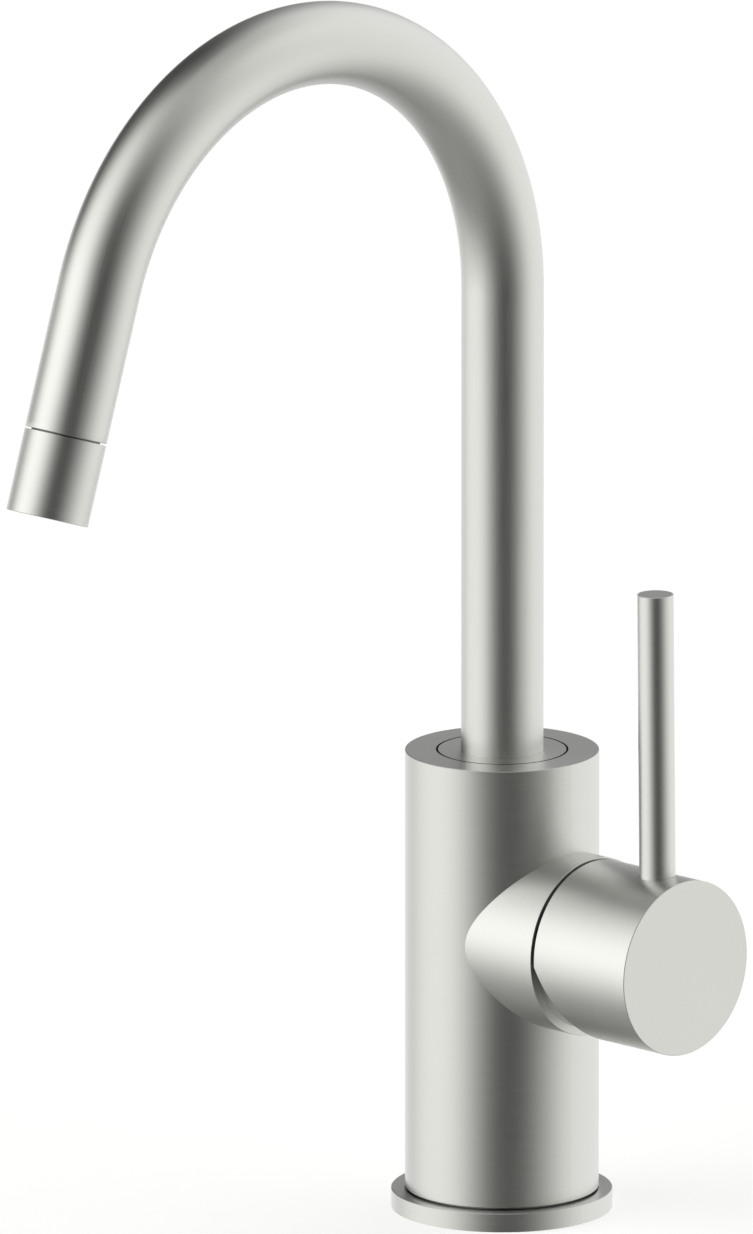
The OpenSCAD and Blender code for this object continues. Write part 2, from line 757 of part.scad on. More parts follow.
// Brazed nipple at the tube's end: its threaded part shows as the dark floor of the seam
module outlet_nipple() {
    color(satin_steel) at_outlet() difference() {
        union() {
            translate([0, 0, -braze_len])
                cylinder(h = braze_len, r = tube_bore_r - end_sizing - braze_fit);
            translate([0, 0, -over]) cylinder(h = nipple_end + over, r = nipple_r);
        }
        translate([0, 0, -braze_len - over])
            cylinder(h = braze_len + nipple_end + 2 * over, r = nipple_bore_r);
    }
}

// Flat rubber washer between the nipple and the aerator
module outlet_washer() {
    color(rubber) at_outlet() ring(nipple_end, insert_rim, nipple_r - slip_fit, nipple_bore_r);
}

// Outlet shell, the same diameter as the tube, screwed on the nipple
module outlet_shell() {
    color(satin_steel) at_outlet() translate([0, 0, seam_gap]) difference() {
        turned_bar(tube_r, shell_len, edge_break);
        translate([0, 0, -over]) cylinder(h = shoulder_s - seam_gap + over, r = nipple_r + thread_fit);
        translate([0, 0, -over]) cylinder(h = insert_end - seam_gap + over, r = insert_r + slip_fit);
        translate([0, 0, -over]) cylinder(h = shell_len + 2 * over, r = lip_r);
    }
}

// Moulded aerator cup with a rim on the shell's shoulder and a honeycomb grid at its mouth
module aerator_insert() {
    color(grey_plastic) at_outlet() difference() {
        union() {
            translate([0, 0, insert_rim]) cylinder(h = insert_rim_t, r = nipple_r - slip_fit);
            translate([0, 0, insert_rim]) cylinder(h = insert_end - insert_rim, r = insert_r);
        }
        translate([0, 0, insert_rim - over])
            cylinder(h = screen_s + screen_t - insert_rim + over, r = insert_bore_r);
        translate([0, 0, insert_rim])
            cylinder(h = insert_end - grid_t - insert_rim, r = insert_bore_r - screen_step);
        honeycomb(insert_bore_r - screen_step);
    }
}

// Hexagonal cells on a triangular grid, inside a circle
module honeycomb(reach) {
    pitch = cell_w + cell_web;
    rows = floor(reach / pitch) + 1;
    for (i = [-rows:rows], j = [-rows:rows]) {
        x = pitch * (i + j / 2);
        y = pitch * j * sin(60);
        if (norm([x, y]) + cell_w / sqrt(3) < reach) translate([x, y, insert_end - grid_t - over])
            rotate([0, 0, 30]) cylinder(h = grid_t + 2 * over, r = cell_w / sqrt(3), $fn = 6);
    }
}

// Etched steel screen that rests on the step inside the cup
module aerator_screen() {
    color(screw_steel) at_outlet() translate([0, 0, screen_s]) difference() {
        cylinder(h = screen_t, r = insert_bore_r - slip_fit);
        for (i = [-4:4], j = [-4:4]) if (norm([i, j]) < 4.3)
            translate([mesh_pitch * i - mesh_hole / 2, mesh_pitch * j - mesh_hole / 2, -over])
                cube([mesh_hole, mesh_hole, screen_t + 2 * over]);
    }
}

// Moulded flow regulator on the screen, with a ring of notches round a central pin
module flow_regulator() {
    color(acetal) at_outlet() translate([0, 0, screen_s - regulator_t]) difference() {
        cylinder(h = regulator_t, r = insert_bore_r - slip_fit);
        for (turn = [0:45:315]) rotate([0, 0, turn]) translate([0.68 * insert_bore_r, 0, -over])
            cylinder(h = regulator_t + 2 * over, r = 0.16 * insert_bore_r, $fn = 32);
        ring(-over, 0.9, 0.45 * insert_bore_r, 0.22 * insert_bore_r);
    }
}

column_body();
base_flange();
base_gasket();
spout_slip_ring();
spout_keeper_screw();
cartridge_nut();
cover_sleeve();
cartridge_housing();
cartridge_base();
seat_seals();
disc_seals();
fixed_ceramic_disc();
sliding_ceramic_disc();
disc_carrier();
cartridge_rotor();
pivot_pin();
cartridge_spindle();
handle_hub();
handle_grub_screw();
lever_pin();
spout_foot();
spout_o_rings();
spout_tube();
outlet_nipple();
outlet_washer();
outlet_shell();
aerator_insert();
aerator_screen();
flow_regulator();
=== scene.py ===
"""Single-lever basin mixer tap in satin stainless steel, with a swivelling gooseneck spout.

The file follows the tap as it is put together: the studio it stands in, the column on its flange,
the cartridge in the side neck, the handle with its lever, and the spout from its foot to the outlet.
All lengths are metres.
"""

import math

import bmesh
import bpy
from mathutils import Matrix, Vector


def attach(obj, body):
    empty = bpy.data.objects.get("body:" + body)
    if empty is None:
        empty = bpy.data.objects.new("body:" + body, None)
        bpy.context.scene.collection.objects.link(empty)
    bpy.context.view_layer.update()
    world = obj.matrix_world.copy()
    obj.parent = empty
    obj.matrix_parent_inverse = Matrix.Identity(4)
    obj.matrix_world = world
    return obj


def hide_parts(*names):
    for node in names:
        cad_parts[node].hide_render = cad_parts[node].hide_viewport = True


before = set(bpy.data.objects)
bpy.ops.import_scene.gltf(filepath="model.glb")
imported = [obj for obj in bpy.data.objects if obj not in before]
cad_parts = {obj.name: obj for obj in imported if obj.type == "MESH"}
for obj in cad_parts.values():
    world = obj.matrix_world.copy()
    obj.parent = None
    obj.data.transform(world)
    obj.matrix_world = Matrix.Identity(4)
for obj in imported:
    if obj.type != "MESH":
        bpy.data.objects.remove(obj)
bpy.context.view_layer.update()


# Studio
# A long lens looks down at the tap from its front right. The room is white, with a large soft panel
# on the left, a pale wall on the right, a lit ceiling, and nothing lit on the photographer's side.

def linear(hex_colour):
    """An sRGB hex colour as Blender's linear colour with alpha."""
    parts = [int(hex_colour[i:i + 2], 16) / 255 for i in (1, 3, 5)]
    return [p / 12.92 if p <= 0.04045 else ((p + 0.055) / 1.055) ** 2.4 for p in parts] + [1.0]


def add(tree, kind, settings=None, inputs=None):
    """Adds a node. An input takes a plain value, or the node or the socket that feeds it."""
    node = tree.nodes.new(kind)
    for name, value in (settings or {}).items():
        setattr(node, name, value)
    for name, value in (inputs or {}).items():
        if isinstance(value, bpy.types.Node):
            value = value.outputs[0]
        if isinstance(value, bpy.types.NodeSocket):
            tree.links.new(value, node.inputs[name])
        else:
            node.inputs[name].default_value = value
    return node


# The lens, its place and its aim were fitted to the edges of the tap
view_azimuth, view_elevation = math.radians(44.36), math.radians(13.57)
view_distance = 8.2
focal_pixels, frame_height_pixels = 35305, 1234
aim_right, aim_up = -0.0291, 0.136476
camera_right = Vector((math.cos(view_azimuth), math.sin(view_azimuth), 0))
camera_back = Vector((math.sin(view_azimuth) * math.cos(view_elevation),
                      -math.cos(view_azimuth) * math.cos(view_elevation),
                      math.sin(view_elevation)))
camera_up = camera_back.cross(camera_right)
camera_turn = Matrix((camera_right, camera_up, camera_back)).transposed().to_4x4()
camera_place = camera_right * aim_right + camera_up * aim_up + camera_back * view_distance
lens = bpy.data.cameras.new("long_lens")
lens.sensor_width = 36
lens.lens = lens.sensor_width * focal_pixels / frame_height_pixels
lens.clip_start, lens.clip_end = 0.1, 100
camera = bpy.data.objects.new("camera", lens)
camera.matrix_world = Matrix.Translation(camera_place) @ camera_turn
bpy.context.scene.collection.objects.link(camera)
bpy.context.scene.camera = camera
bpy.context.scene.view_settings.view_transform = "Standard"


def panel(tree, brightness, *edges):
    """A panel of light with soft edges.

    An edge names the angle that it cuts, its place and its blur to either side in degrees, and
    whether the panel begins or ends there.
    """
    light = brightness
    for angle, place, blur, kind in edges:
        begins = kind == "begins"
        fade = add(tree, "ShaderNodeMapRange", {"interpolation_type": "SMOOTHSTEP"},
                   {"Value": angle, "From Min": math.radians(place - blur),
                    "From Max": math.radians(place + blur),
                    "To Min": 0.0 if begins else 1.0, "To Max": 1.0 if begins else 0.0})
        light = add(tree, "ShaderNodeMath", {"operation": "MULTIPLY"}, {0: light, 1: fade})
    return light


world = bpy.data.worlds.new("studio_room")
world.use_nodes = True
room = world.node_tree
room.nodes.clear()
looked_at = add(room, "ShaderNodeTexCoord")
# The room's own bearings: 0 degrees is towards the photographer, and 90 is the right-hand wall
facing = add(room, "ShaderNodeVectorRotate", {"rotation_type": "Z_AXIS"},
             {"Vector": looked_at.outputs["Generated"], "Angle": math.radians(90) - view_azimuth})
axes = add(room, "ShaderNodeSeparateXYZ", {}, {"Vector": facing})
bearing = add(room, "ShaderNodeMath", {"operation": "ARCTAN2"}, {0: axes.outputs["Y"], 1: axes.outputs["X"]})
height = add(room, "ShaderNodeMath", {"operation": "ARCSINE"}, {0: axes.outputs["Z"]})
# Each bearing is counted so that its own panels aren't cut by the step from 180 to -180 degrees
left_bearing = add(room, "ShaderNodeMath", {"operation": "WRAP"},
                   {0: bearing, 1: math.radians(90), 2: math.radians(-270)})
right_bearing = add(room, "ShaderNodeMath", {"operation": "WRAP"},
                    {0: bearing, 1: math.radians(330), 2: math.radians(-30)})
# A brightness of 1 is white. These three are the dark room itself, its ceiling, and what lies below.
unlit, ceiling, ground = 0.036, 0.508, 0.36
softbox = panel(room, 1.495, (left_bearing, -141.8, 45.0, "begins"), (left_bearing, -36.0, 33.3, "ends"),
                (height, -23.1, 29.0, "begins"), (height, 51.7, 40.0, "ends"))
wall = panel(room, 1.020, (right_bearing, 55.9, 44.2, "begins"), (right_bearing, 211.3, 19.6, "ends"),
             (height, -43.0, 33.0, "begins"), (height, 51.7, 17.7, "ends"))
overhead = panel(room, ceiling - unlit, (height, 47.0, 16.8, "begins"))
below = panel(room, ground - unlit, (height, -35.4, 30.0, "ends"))
# A black curtain hangs in the far left corner, and gives the dark edge along the top of the arch
curtain = panel(room, 0.99, (right_bearing, 173.2, 26.3, "begins"), (right_bearing, 246.3, 26.3, "ends"),
                (height, -1.0, 6.0, "begins"), (height, 79.0, 4.7, "ends"))
lit = unlit
for light in (softbox, wall, overhead, below):
    lit = add(room, "ShaderNodeMath", {"operation": "ADD"}, {0: lit, 1: light})
past_curtain = add(room, "ShaderNodeMath", {"operation": "SUBTRACT"}, {0: 1.0, 1: curtain})
lit = add(room, "ShaderNodeMath", {"operation": "MULTIPLY"}, {0: lit, 1: past_curtain})
# Seen straight on or through glass the room is plain white. Steel mirrors the panels that light it.
rays = add(room, "ShaderNodeLightPath")
plain = add(room, "ShaderNodeMath", {"operation": "MAXIMUM"},
            {0: rays.outputs["Is Camera Ray"], 1: rays.outputs["Is Transmission Ray"]})
brightness = add(room, "ShaderNodeMix", {"data_type": "FLOAT"}, {"Factor": plain, "A": lit, "B": 1.0})
# The light in front of the tap and beside it is a little warm, and the light from behind is neutral
behind, beside = -0.8, -0.5
in_front = add(room, "ShaderNodeMapRange", {},
               {"Value": axes.outputs["X"], "From Min": behind, "From Max": beside,
                "To Min": 0.0, "To Max": 1.0})
warmth = add(room, "ShaderNodeMath", {"operation": "SUBTRACT", "use_clamp": True}, {0: in_front, 1: plain})
tint = add(room, "ShaderNodeMix", {"data_type": "RGBA"},
           {"Factor": warmth, 6: linear("#FFFFFF"), 7: linear("#FEFFFA")})
backdrop = add(room, "ShaderNodeBackground", {}, {"Color": tint.outputs[2], "Strength": brightness})
add(room, "ShaderNodeOutputWorld", {}, {"Surface": backdrop})
bpy.context.scene.world = world


def new_material(name):
    """An empty material and its node tree."""
    material = bpy.data.materials.new(name)
    material.use_nodes = True
    material.node_tree.nodes.clear()
    return material, material.node_tree


# White matt paint glows just enough to read as white, and the tap's own shadow still darkens it.
# From below it is clear, so that the underside of the tap can be looked at.
floor_radius = 1.6
floor_paint, tree = new_material("floor_white_matt_paint")
bounced = add(tree, "ShaderNodeBsdfDiffuse", {}, {"Color": linear("#D9D9D9")})
glow = add(tree, "ShaderNodeEmission", {}, {"Color": linear("#FFFFFF"), "Strength": 0.6})
from_above = add(tree, "ShaderNodeAddShader", {}, {0: bounced, 1: glow})
from_below = add(tree, "ShaderNodeBsdfTransparent")
side = add(tree, "ShaderNodeNewGeometry")
either = add(tree, "ShaderNodeMixShader", {}, {0: side.outputs["Backfacing"], 1: from_above, 2: from_below})
add(tree, "ShaderNodeOutputMaterial", {}, {"Surface": either})
floor_mesh = bpy.data.meshes.new("floor")
shape = bmesh.new()
bmesh.ops.create_circle(shape, cap_ends=True, segments=128, radius=floor_radius)
bmesh.ops.recalc_face_normals(shape, faces=shape.faces)
if shape.faces[0].normal.z < 0:
    bmesh.ops.reverse_faces(shape, faces=shape.faces)
shape.to_mesh(floor_mesh)
shape.free()
floor_mesh.materials.append(floor_paint)
floor = bpy.data.objects.new("floor", floor_mesh)
bpy.context.scene.collection.objects.link(floor)
floor.visible_glossy = False


# Column
# The column and its side neck are turned and drilled from one piece of stainless steel bar. Both
# are brushed round their own axis, so the fine lines run round the column and round the neck.

def dress(node, material):
    """Gives a CAD node that is shown as it is its finish."""
    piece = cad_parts[node]
    for place in piece.material_slots:
        place.material = material


def rings(tree, to_axis, pitch, streak):
    """Fine lines round an axis. Pitch is the width of a line, and streak is how often one breaks off."""
    where = add(tree, "ShaderNodeTexCoord")
    turned = add(tree, "ShaderNodeMapping", {},
                 {"Vector": where.outputs["Object"], "Location": to_axis.translation,
                  "Rotation": to_axis.to_euler()})
    parts = add(tree, "ShaderNodeSeparateXYZ", {}, {"Vector": turned})
    flat = add(tree, "ShaderNodeCombineXYZ", {}, {"X": parts.outputs["X"], "Y": parts.outputs["Y"]})
    radius = add(tree, "ShaderNodeVectorMath", {"operation": "LENGTH"}, {0: flat})
    around = add(tree, "ShaderNodeVectorMath", {"operation": "NORMALIZE"}, {0: flat})
    spread = add(tree, "ShaderNodeVectorMath", {"operation": "SCALE"}, {0: around, "Scale": streak})
    across = add(tree, "ShaderNodeMath", {"operation": "ADD"},
                 {0: parts.outputs["Z"], 1: radius.outputs["Value"]})
    counted = add(tree, "ShaderNodeMath", {"operation": "DIVIDE"}, {0: across, 1: pitch})
    lifted = add(tree, "ShaderNodeCombineXYZ", {}, {"Z": counted})
    line = add(tree, "ShaderNodeVectorMath", {"operation": "ADD"}, {0: spread, 1: lifted})
    noise = add(tree, "ShaderNodeTexNoise", {},
                {"Vector": line, "Scale": 1.0, "Detail": 2.0, "Roughness": 0.55})
    return noise.outputs["Fac"]


def satin_finish(tree, lines, painted_shade=None):
    """Brushed stainless steel: soft wide highlights, faint fine lines, and a slightly uneven polish.

    Painted shade is how far a near-black colour darkens it, from 0 to 1, to paint shade into seams.
    """
    roughness, between_lines, between_patches = 0.365, 0.02, 0.01
    patch_size, line_depth = 0.03, 0.00002
    where = add(tree, "ShaderNodeTexCoord")
    patches = add(tree, "ShaderNodeTexNoise", {},
                  {"Vector": where.outputs["Object"], "Scale": 1 / patch_size, "Detail": 3.0})
    shade = add(tree, "ShaderNodeMix", {"data_type": "RGBA"},
                {"Factor": lines, 6: linear("#D8D8D6"), 7: linear("#E0E0DE")})
    # The near-black colour mixed in here is painted shade
    if painted_shade is not None:
        shade = add(tree, "ShaderNodeMix", {"data_type": "RGBA"},
                    {"Factor": painted_shade, 6: shade.outputs[2], 7: linear("#1C1C1B")})
    brushed = add(tree, "ShaderNodeMapRange", {},
                  {"Value": lines, "From Min": 0.25, "From Max": 0.75,
                   "To Min": roughness - between_lines, "To Max": roughness + between_lines})
    uneven = add(tree, "ShaderNodeMapRange", {},
                 {"Value": patches.outputs["Fac"], "From Min": 0.3, "From Max": 0.7,
                  "To Min": -between_patches, "To Max": between_patches})
    rough = add(tree, "ShaderNodeMath", {"operation": "ADD"}, {0: brushed, 1: uneven})
    relief = add(tree, "ShaderNodeBump", {}, {"Height": lines, "Strength": 0.3, "Distance": line_depth})
    steel = add(tree, "ShaderNodeBsdfPrincipled", {},
                {"Base Color": shade.outputs[2], "Metallic": 1.0, "Roughness": rough, "Normal": relief})
    add(tree, "ShaderNodeOutputMaterial", {}, {"Surface": steel})


# The lines of a fine satin belt are under 0.1 mm wide. They are drawn at 0.35 mm, so that they show.
brush_pitch, brush_streak = 0.00035, 3.0


def satin_steel(name, to_axis):
    """Satin stainless steel that was brushed while it turned round one axis."""
    material, tree = new_material(name)
    satin_finish(tree, rings(tree, to_axis, brush_pitch, brush_streak))
    return material


def out_and_up(tree):
    """How far a point is from the column's axis, and how high."""
    where = add(tree, "ShaderNodeTexCoord")
    parts = add(tree, "ShaderNodeSeparateXYZ", {}, {"Vector": where.outputs["Object"]})
    flat = add(tree, "ShaderNodeCombineXYZ", {}, {"X": parts.outputs["X"], "Y": parts.outputs["Y"]})
    outward = add(tree, "ShaderNodeVectorMath", {"operation": "LENGTH"}, {0: flat})
    return outward.outputs["Value"], parts.outputs["Z"]


def painted_seam_shade(tree, radius, half_width, height, half_height):
    """How much painted shade darkens a seam round the column's axis. Away from it this is 0."""
    seam_shade_strength = 0.9
    outward, up = out_and_up(tree)
    beside = add(tree, "ShaderNodeMath", {"operation": "COMPARE"}, {0: outward, 1: radius, 2: half_width})
    level = add(tree, "ShaderNodeMath", {"operation": "COMPARE"}, {0: up, 1: height, 2: half_height})
    both = add(tree, "ShaderNodeMath", {"operation": "MULTIPLY"}, {0: beside, 1: level})
    return add(tree, "ShaderNodeMath", {"operation": "MULTIPLY"}, {0: both, 1: seam_shade_strength})


# One seam runs round the spout's disc in the column's top, and the other between flange and column
# Both seams are painted darker, as painted shade
disc_seam = {"radius": 0.0151, "half_width": 0.00026, "height": 0.107, "half_height": 0.0022}
flange_seam = {"radius": 0.0219, "half_width": 0.0006, "height": 0.00445, "half_height": 0.00047}
upright = Matrix.Identity(4)
handle_axis_height = 0.067
along_handle = Matrix.Rotation(math.radians(-90), 4, "Y") @ Matrix.Translation((0, 0, -handle_axis_height))
steel_round_handle = satin_steel("satin_stainless_brushed_round_the_handle", along_handle)

# What stands out past the column's round skin is the neck, and its lines run round the handle's axis
column_radius, just_past = 0.0225, 0.00004
column_finish, tree = new_material("satin_stainless_column_and_neck")
outward, _ = out_and_up(tree)
on_neck = add(tree, "ShaderNodeMath", {"operation": "GREATER_THAN"},
              {0: outward, 1: column_radius + just_past})
lines = add(tree, "ShaderNodeMix", {"data_type": "FLOAT"},
            {"Factor": on_neck, "A": rings(tree, upright, brush_pitch, brush_streak),
             "B": rings(tree, along_handle, brush_pitch, brush_streak)})
# The seams round the spout's disc and above the flange are painted darker, as painted shade
painted_shade_mask = add(tree, "ShaderNodeMath", {"operation": "MAXIMUM"},
           {0: painted_seam_shade(tree, **disc_seam), 1: painted_seam_shade(tree, **flange_seam)})
satin_finish(tree, lines, painted_shade=painted_shade_mask)
dress("column_body", column_finish)


# Base flange and gasket
# The flange is a turned ring, trapped between the column's shoulder and the basin. A rubber ring
# in its underside keeps water out.
flange_finish, tree = new_material("satin_stainless_base_flange")
# The seam beside the column is painted darker, as painted shade
satin_finish(tree, rings(tree, upright, brush_pitch, brush_streak), painted_shade=painted_seam_shade(tree, **flange_seam))
dress("base_flange", flange_finish)

# Moulded nitrile rubber is matt and nearly black, with a fine grain and a faint grey bloom
grain_size, grain_depth, bloom_size = 0.0004, 0.00003, 0.006
seal_rubber, tree = new_material("moulded_nitrile_rubber_matt")
where = add(tree, "ShaderNodeTexCoord")
grain = add(tree, "ShaderNodeTexNoise", {},
            {"Vector": where.outputs["Object"], "Scale": 1 / grain_size, "Detail": 4.0})
bloom = add(tree, "ShaderNodeTexNoise", {},
            {"Vector": where.outputs["Object"], "Scale": 1 / bloom_size, "Detail": 3.0})
shade = add(tree, "ShaderNodeMix", {"data_type": "RGBA"},
            {"Factor": bloom.outputs["Fac"], 6: linear("#242425"), 7: linear("#333334")})
relief = add(tree, "ShaderNodeBump", {},
             {"Height": grain.outputs["Fac"], "Strength": 0.4, "Distance": grain_depth})
dullness = add(tree, "ShaderNodeMapRange", {},
               {"Value": bloom.outputs["Fac"], "To Min": 0.62, "To Max": 0.82})
rubber = add(tree, "ShaderNodeBsdfPrincipled", {},
             {"Base Color": shade.outputs[2], "Roughness": dullness, "IOR": 1.52, "Normal": relief})
add(tree, "ShaderNodeOutputMaterial", {}, {"Surface": rubber})
dress("base_gasket", seal_rubber)


# Cartridge
# A ceramic-disc cartridge: moulded housing, base and rotor, two lapped alumina discs, and a brass
# spindle on a steel pin. A brass nut clamps it into the neck, and a brushed steel sleeve covers the nut.

def moulded(name, dark, light, roughness):
    """A moulded piece: an even colour, with faint clouds from the flow and the fine grain of the mould."""
    grain_size, grain_depth, flow_size, uneven_gloss = 0.0003, 0.00002, 0.008, 0.06
    material, tree = new_material(name)
    where = add(tree, "ShaderNodeTexCoord")
    grain = add(tree, "ShaderNodeTexNoise", {},
                {"Vector": where.outputs["Object"], "Scale": 1 / grain_size, "Detail": 3.0})
    flow = add(tree, "ShaderNodeTexNoise", {},
               {"Vector": where.outputs["Object"], "Scale": 1 / flow_size, "Detail": 2.0})
    shade = add(tree, "ShaderNodeMix", {"data_type": "RGBA"},
                {"Factor": flow.outputs["Fac"], 6: linear(dark), 7: linear(light)})
    gloss = add(tree, "ShaderNodeMapRange", {},
                {"Value": grain.outputs["Fac"], "To Min": roughness - uneven_gloss,
                 "To Max": roughness + uneven_gloss})
    relief = add(tree, "ShaderNodeBump", {},
                 {"Height": grain.outputs["Fac"], "Strength": 0.35, "Distance": grain_depth})
    plastic = add(tree, "ShaderNodeBsdfPrincipled", {},
                  {"Base Color": shade.outputs[2], "Roughness": gloss, "IOR": 1.48, "Normal": relief})
    add(tree, "ShaderNodeOutputMaterial", {}, {"Surface": plastic})
    return material


def turned_metal(name, to_axis, dark, light, roughness):
    """Machined metal with the fine feed lines that the tool leaves round the axis."""
    line_depth, uneven_gloss = 0.00002, 0.05
    material, tree = new_material(name)
    lines = rings(tree, to_axis, pitch=0.00015, streak=1.2)
    shade = add(tree, "ShaderNodeMix", {"data_type": "RGBA"},
                {"Factor": lines, 6: linear(dark), 7: linear(light)})
    gloss = add(tree, "ShaderNodeMapRange", {},
                {"Value": lines, "To Min": roughness - uneven_gloss, "To Max": roughness + uneven_gloss})
    relief = add(tree, "ShaderNodeBump", {}, {"Height": lines, "Strength": 0.4, "Distance": line_depth})
    metal = add(tree, "ShaderNodeBsdfPrincipled", {},
                {"Base Color": shade.outputs[2], "Metallic": 1.0, "Roughness": gloss, "Normal": relief})
    add(tree, "ShaderNodeOutputMaterial", {}, {"Surface": metal})
    return material


# Acetal is smooth and a little waxy, and lapped alumina is creamy white with a low shine. Turned brass
# is warm and finely lined, and a hardened pin is a bright even grey.
grey_plastic = moulded("moulded_grey_acetal", "#78828B", "#828C95", 0.42)
blue_plastic = moulded("moulded_blue_acetal", "#3B6A96", "#4474A2", 0.4)
white_acetal = moulded("moulded_white_acetal", "#E2E0D9", "#ECEAE3", 0.36)
lapped_alumina = moulded("lapped_alumina_ceramic", "#EDEBE4", "#F5F3EC", 0.22)
turned_brass = turned_metal("turned_brass", along_handle, "#C9AE74", "#DCC48C", 0.28)
pin_steel = turned_metal("hardened_steel_pin", along_handle, "#9C9EA0", "#B4B6B8", 0.25)
for node, material, slot in (
    ("cartridge_housing", grey_plastic, "grey_plastic"),
    ("cartridge_base", blue_plastic, "blue_plastic"),
    ("fixed_ceramic_disc", lapped_alumina, "valve_ceramic"),
    ("sliding_ceramic_disc", lapped_alumina, "valve_ceramic"),
    ("disc_carrier", white_acetal, "white_acetal"),
    ("cartridge_rotor", white_acetal, "white_acetal"),
    ("pivot_pin", pin_steel, "screw_steel"),
    ("cartridge_spindle", turned_brass, "brass"),
    ("cartridge_nut", turned_brass, "brass"),
    ("seat_seals", seal_rubber, "seal_rubber"),
    ("disc_seals", seal_rubber, "seal_rubber"),
):
    dress(node, material)

# The sleeve is brushed like the neck. Its narrow groove beside the handle gets painted shade,
# which thins out from the handle's axis down to where the handle is cut away.
shade_ends_height, shade_full_height, groove_shade_strength = 0.0562, 0.068, 0.95
sleeve_finish, tree = new_material("satin_stainless_sleeve_with_painted_shade_in_its_groove")
where = add(tree, "ShaderNodeTexCoord")
parts = add(tree, "ShaderNodeSeparateXYZ", {}, {"Vector": where.outputs["Object"]})
# Painted shade in the groove: none below 56.2 mm, rising to full at 68 mm
painted_shade_mask = add(tree, "ShaderNodeMapRange", {},
           {"Value": parts.outputs["Z"], "From Min": shade_ends_height, "From Max": shade_full_height,
            "To Min": 0.0, "To Max": groove_shade_strength})
satin_finish(tree, rings(tree, along_handle, brush_pitch, brush_streak), painted_shade=painted_shade_mask)
dress("cover_sleeve", sleeve_finish)


# Handle
# The hub is a turned cup on the spindle's square end, held by a grub screw from below. The lever
# is a plain round pin, screwed into the top of the hub.
dress("handle_hub", steel_round_handle)
lever_x, lever_lean = 0.0502, math.radians(0.7)
along_lever = Matrix.Rotation(lever_lean, 4, "Y") @ Matrix.Translation((-lever_x, 0, -handle_axis_height))
steel_round_lever = satin_steel("satin_stainless_brushed_round_the_lever", along_lever)
dress("lever_pin", steel_round_lever)

# A grub screw with a hexagon socket. The nodes turn its core, cut the socket, and wind the thread's
# 60 degree ridge round the core, with the crests at the screw's full radius. A metric thread is cut
# 0.6134 of its pitch deep, and the ridge's three corners lie 0.52 of the pitch from its middle.
thread_depth_share, ridge_share, round_sides = 0.6134, 0.52, 48
grub_rule = bpy.data.node_groups.new("grub_screw_with_wound_thread", "GeometryNodeTree")
for name in ("Radius", "Pitch", "Length", "Tip Radius", "Tip Length", "Socket Radius", "Socket Depth"):
    grub_rule.interface.new_socket(name, in_out="INPUT", socket_type="NodeSocketFloat")
for name in ("Place", "Turn"):
    grub_rule.interface.new_socket(name, in_out="INPUT", socket_type="NodeSocketVector")
grub_rule.interface.new_socket("Finish", in_out="INPUT", socket_type="NodeSocketMaterial")
grub_rule.interface.new_socket("Geometry", in_out="OUTPUT", socket_type="NodeSocketGeometry")
given = add(grub_rule, "NodeGroupInput").outputs
known = {socket.name: socket for socket in given}
for result, operation, first, second in (
    ("Depth", "MULTIPLY", "Pitch", thread_depth_share),
    ("Root Radius", "SUBTRACT", "Radius", "Depth"),
    ("Ridge Size", "MULTIPLY", "Pitch", ridge_share),
    ("Winding Radius", "SUBTRACT", "Radius", "Ridge Size"),
    ("Threaded", "SUBTRACT", "Length", "Tip Length"),
    ("Half Threaded", "MULTIPLY", "Threaded", 0.5),
    ("Core Middle", "ADD", "Tip Length", "Half Threaded"),
    ("Tip Middle", "MULTIPLY", "Core Middle", 0.5),
    ("Wound", "SUBTRACT", "Threaded", "Pitch"),
    ("Wound", "SUBTRACT", "Wound", "Ridge Size"),
    ("Turns", "DIVIDE", "Wound", "Pitch"),
    ("First Turn", "ADD", "Tip Length", "Pitch"),
    ("Socket Height", "MULTIPLY", "Socket Depth", 2.0),
):
    known[result] = add(grub_rule, "ShaderNodeMath", {"operation": operation},
                        {0: known.get(first, first), 1: known.get(second, second)})
# Each shape is made in its own place, and then lifted up the screw's axis
lifted = {}
for shape, kind, sizes, rise in (
    ("core", "GeometryNodeMeshCylinder",
     {"Vertices": round_sides, "Radius": known["Root Radius"], "Depth": known["Threaded"]}, "Core Middle"),
    ("socket", "GeometryNodeMeshCylinder",
     {"Vertices": 6, "Radius": given["Socket Radius"], "Depth": known["Socket Height"]}, "Length"),
    ("tip", "GeometryNodeMeshCylinder",
     {"Vertices": round_sides, "Radius": given["Tip Radius"], "Depth": known["Core Middle"]}, "Tip Middle"),
    ("winding", "GeometryNodeCurveSpiral",
     {"Resolution": 32, "Rotations": known["Turns"], "Start Radius": known["Winding Radius"],
      "End Radius": known["Winding Radius"], "Height": known["Wound"]}, "First Turn"),
):
    made = add(grub_rule, kind, {}, sizes)
    up = add(grub_rule, "ShaderNodeCombineXYZ", {}, {"Z": known[rise]})
    lifted[shape] = add(grub_rule, "GeometryNodeTransform", {}, {"Geometry": made, "Translation": up})
cut_core = add(grub_rule, "GeometryNodeMeshBoolean", {"operation": "DIFFERENCE"},
               {"Mesh 1": lifted["core"], "Mesh 2": lifted["socket"]})
winding = add(grub_rule, "GeometryNodeSetCurveNormal", {"mode": "Z_UP"}, {"Curve": lifted["winding"]})
ridge_section = add(grub_rule, "GeometryNodeCurvePrimitiveCircle", {},
                    {"Resolution": 3, "Radius": known["Ridge Size"]})
crest_outwards = add(grub_rule, "GeometryNodeTransform", {},
                     {"Geometry": ridge_section, "Rotation": (0.0, 0.0, math.pi)})
ridge = add(grub_rule, "GeometryNodeCurveToMesh", {},
            {"Curve": winding, "Profile Curve": crest_outwards, "Fill Caps": True})
screw = add(grub_rule, "GeometryNodeJoinGeometry")
for shape in (cut_core, lifted["tip"], ridge):
    grub_rule.links.new(shape.outputs[0], screw.inputs["Geometry"])
